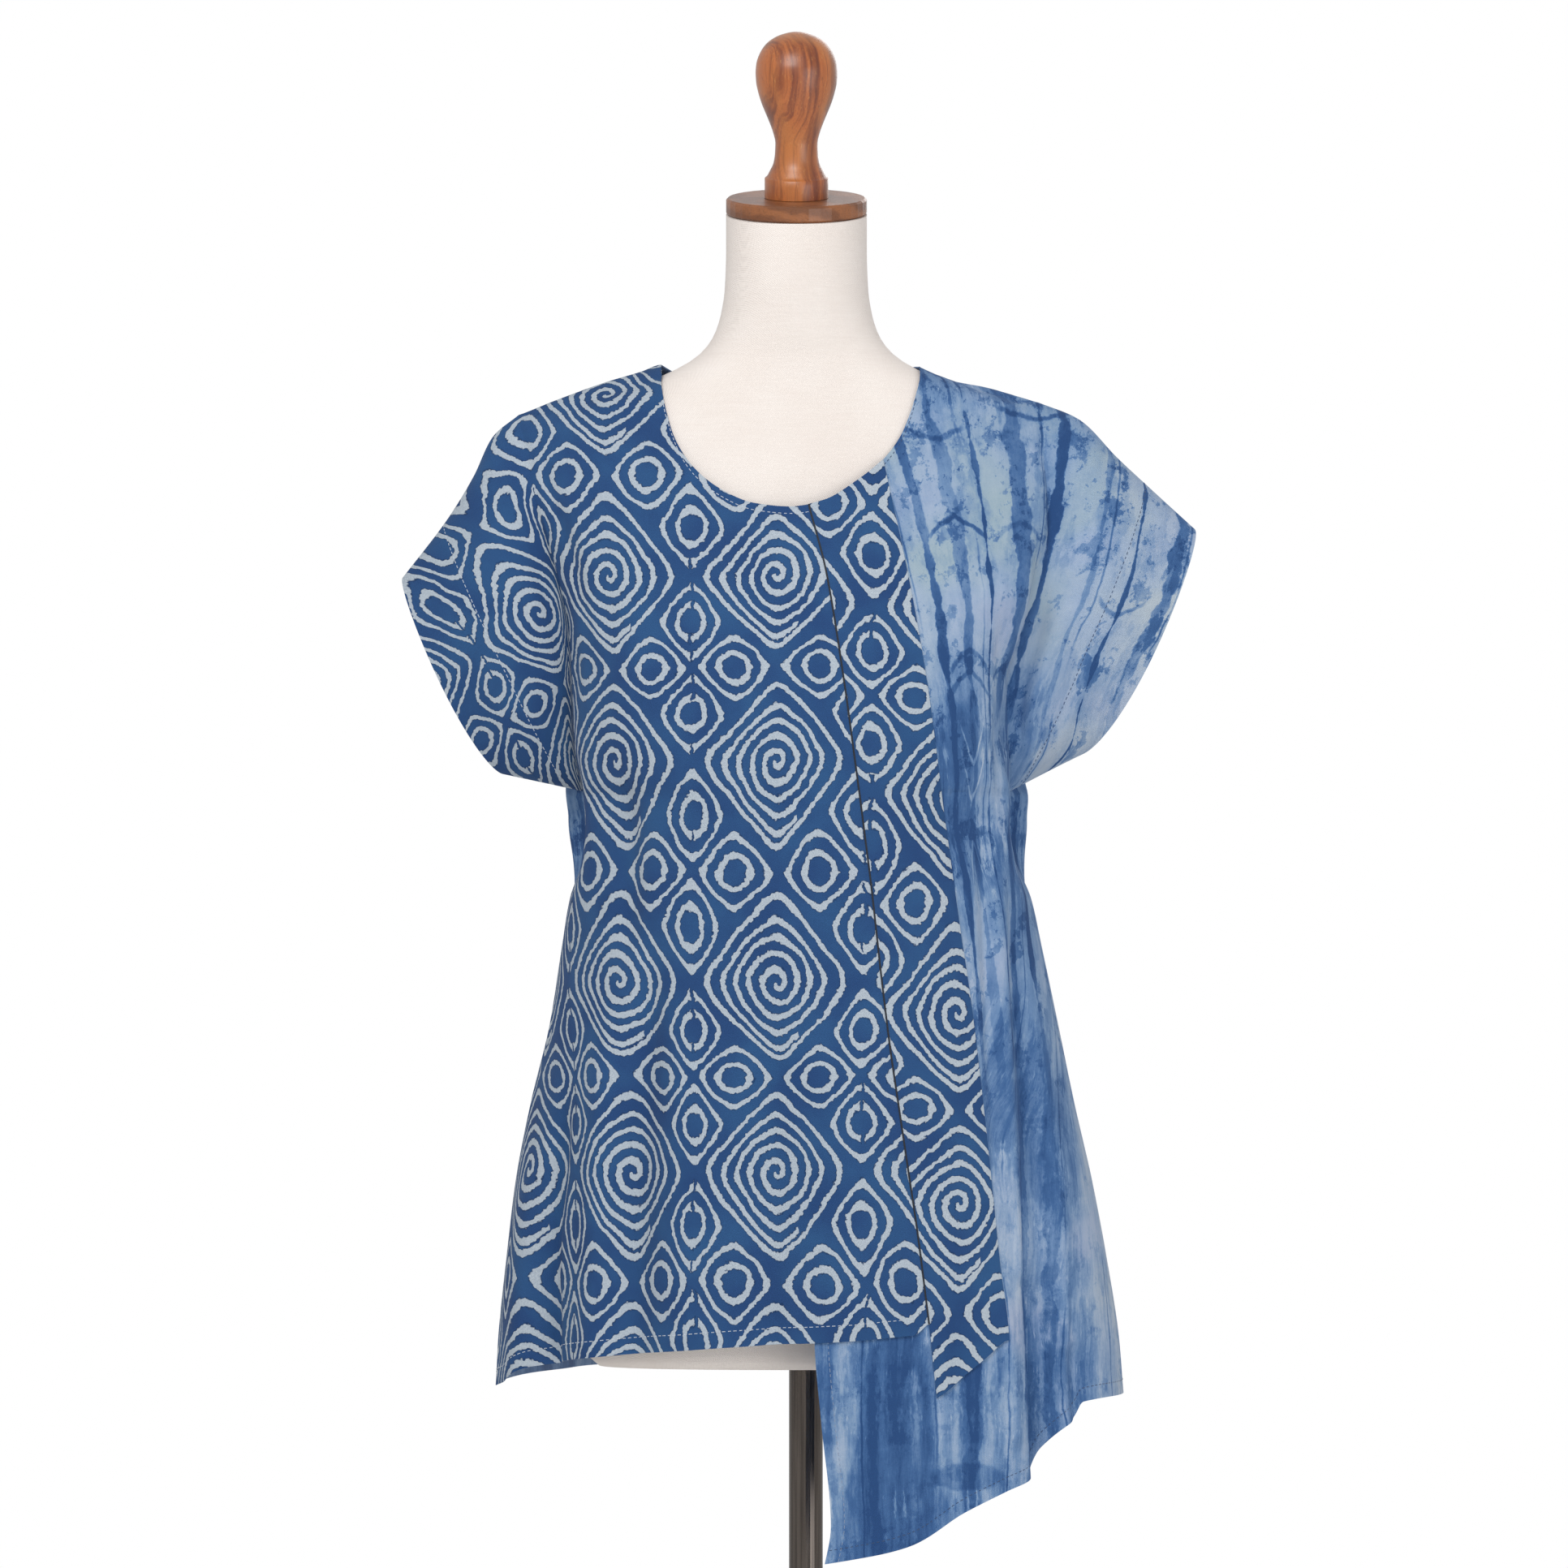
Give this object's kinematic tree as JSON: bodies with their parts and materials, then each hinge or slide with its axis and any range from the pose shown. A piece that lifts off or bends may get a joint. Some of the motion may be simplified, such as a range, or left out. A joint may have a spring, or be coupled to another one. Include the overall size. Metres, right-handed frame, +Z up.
{
  "type": "tie-dye blouse on a dress form",
  "caption": "short-sleeved asymmetric blouse in printed and tie-dyed blue cloth, worn open at neck, sleeves and hem by a limbless dress form on a pole and round base",
  "frame": {"origin": "middle of the underside of the round base plate, on the floor, on the pole's axis", "axes": "+Z up along the pole, -Y the blouse's front, +X the wearer's left"},
  "size_m": [0.5868, 0.38, 1.6108],
  "materials": {
    "batik_cloth": "blue plain-woven cotton with a pale grey resist print",
    "tie_dye_cloth": "plain-woven cotton in striped light, mid and deep blue tie-dye",
    "form_cloth": "smooth off-white cotton jersey",
    "cap_wood": "dark varnished hardwood",
    "finial_wood": "warm brown varnished hardwood",
    "pole_metal": "dark bright plated steel"
  },
  "bodies": {
    "root": {"front_batik": "batik_cloth", "front_strip": "batik_cloth", "front_tiedye": "tie_dye_cloth", "back": "tie_dye_cloth", "form": "form_cloth", "neck_cap": "cap_wood", "finial": "finial_wood", "pole": "pole_metal", "base": "pole_metal"}
  },
  "joints": []
}
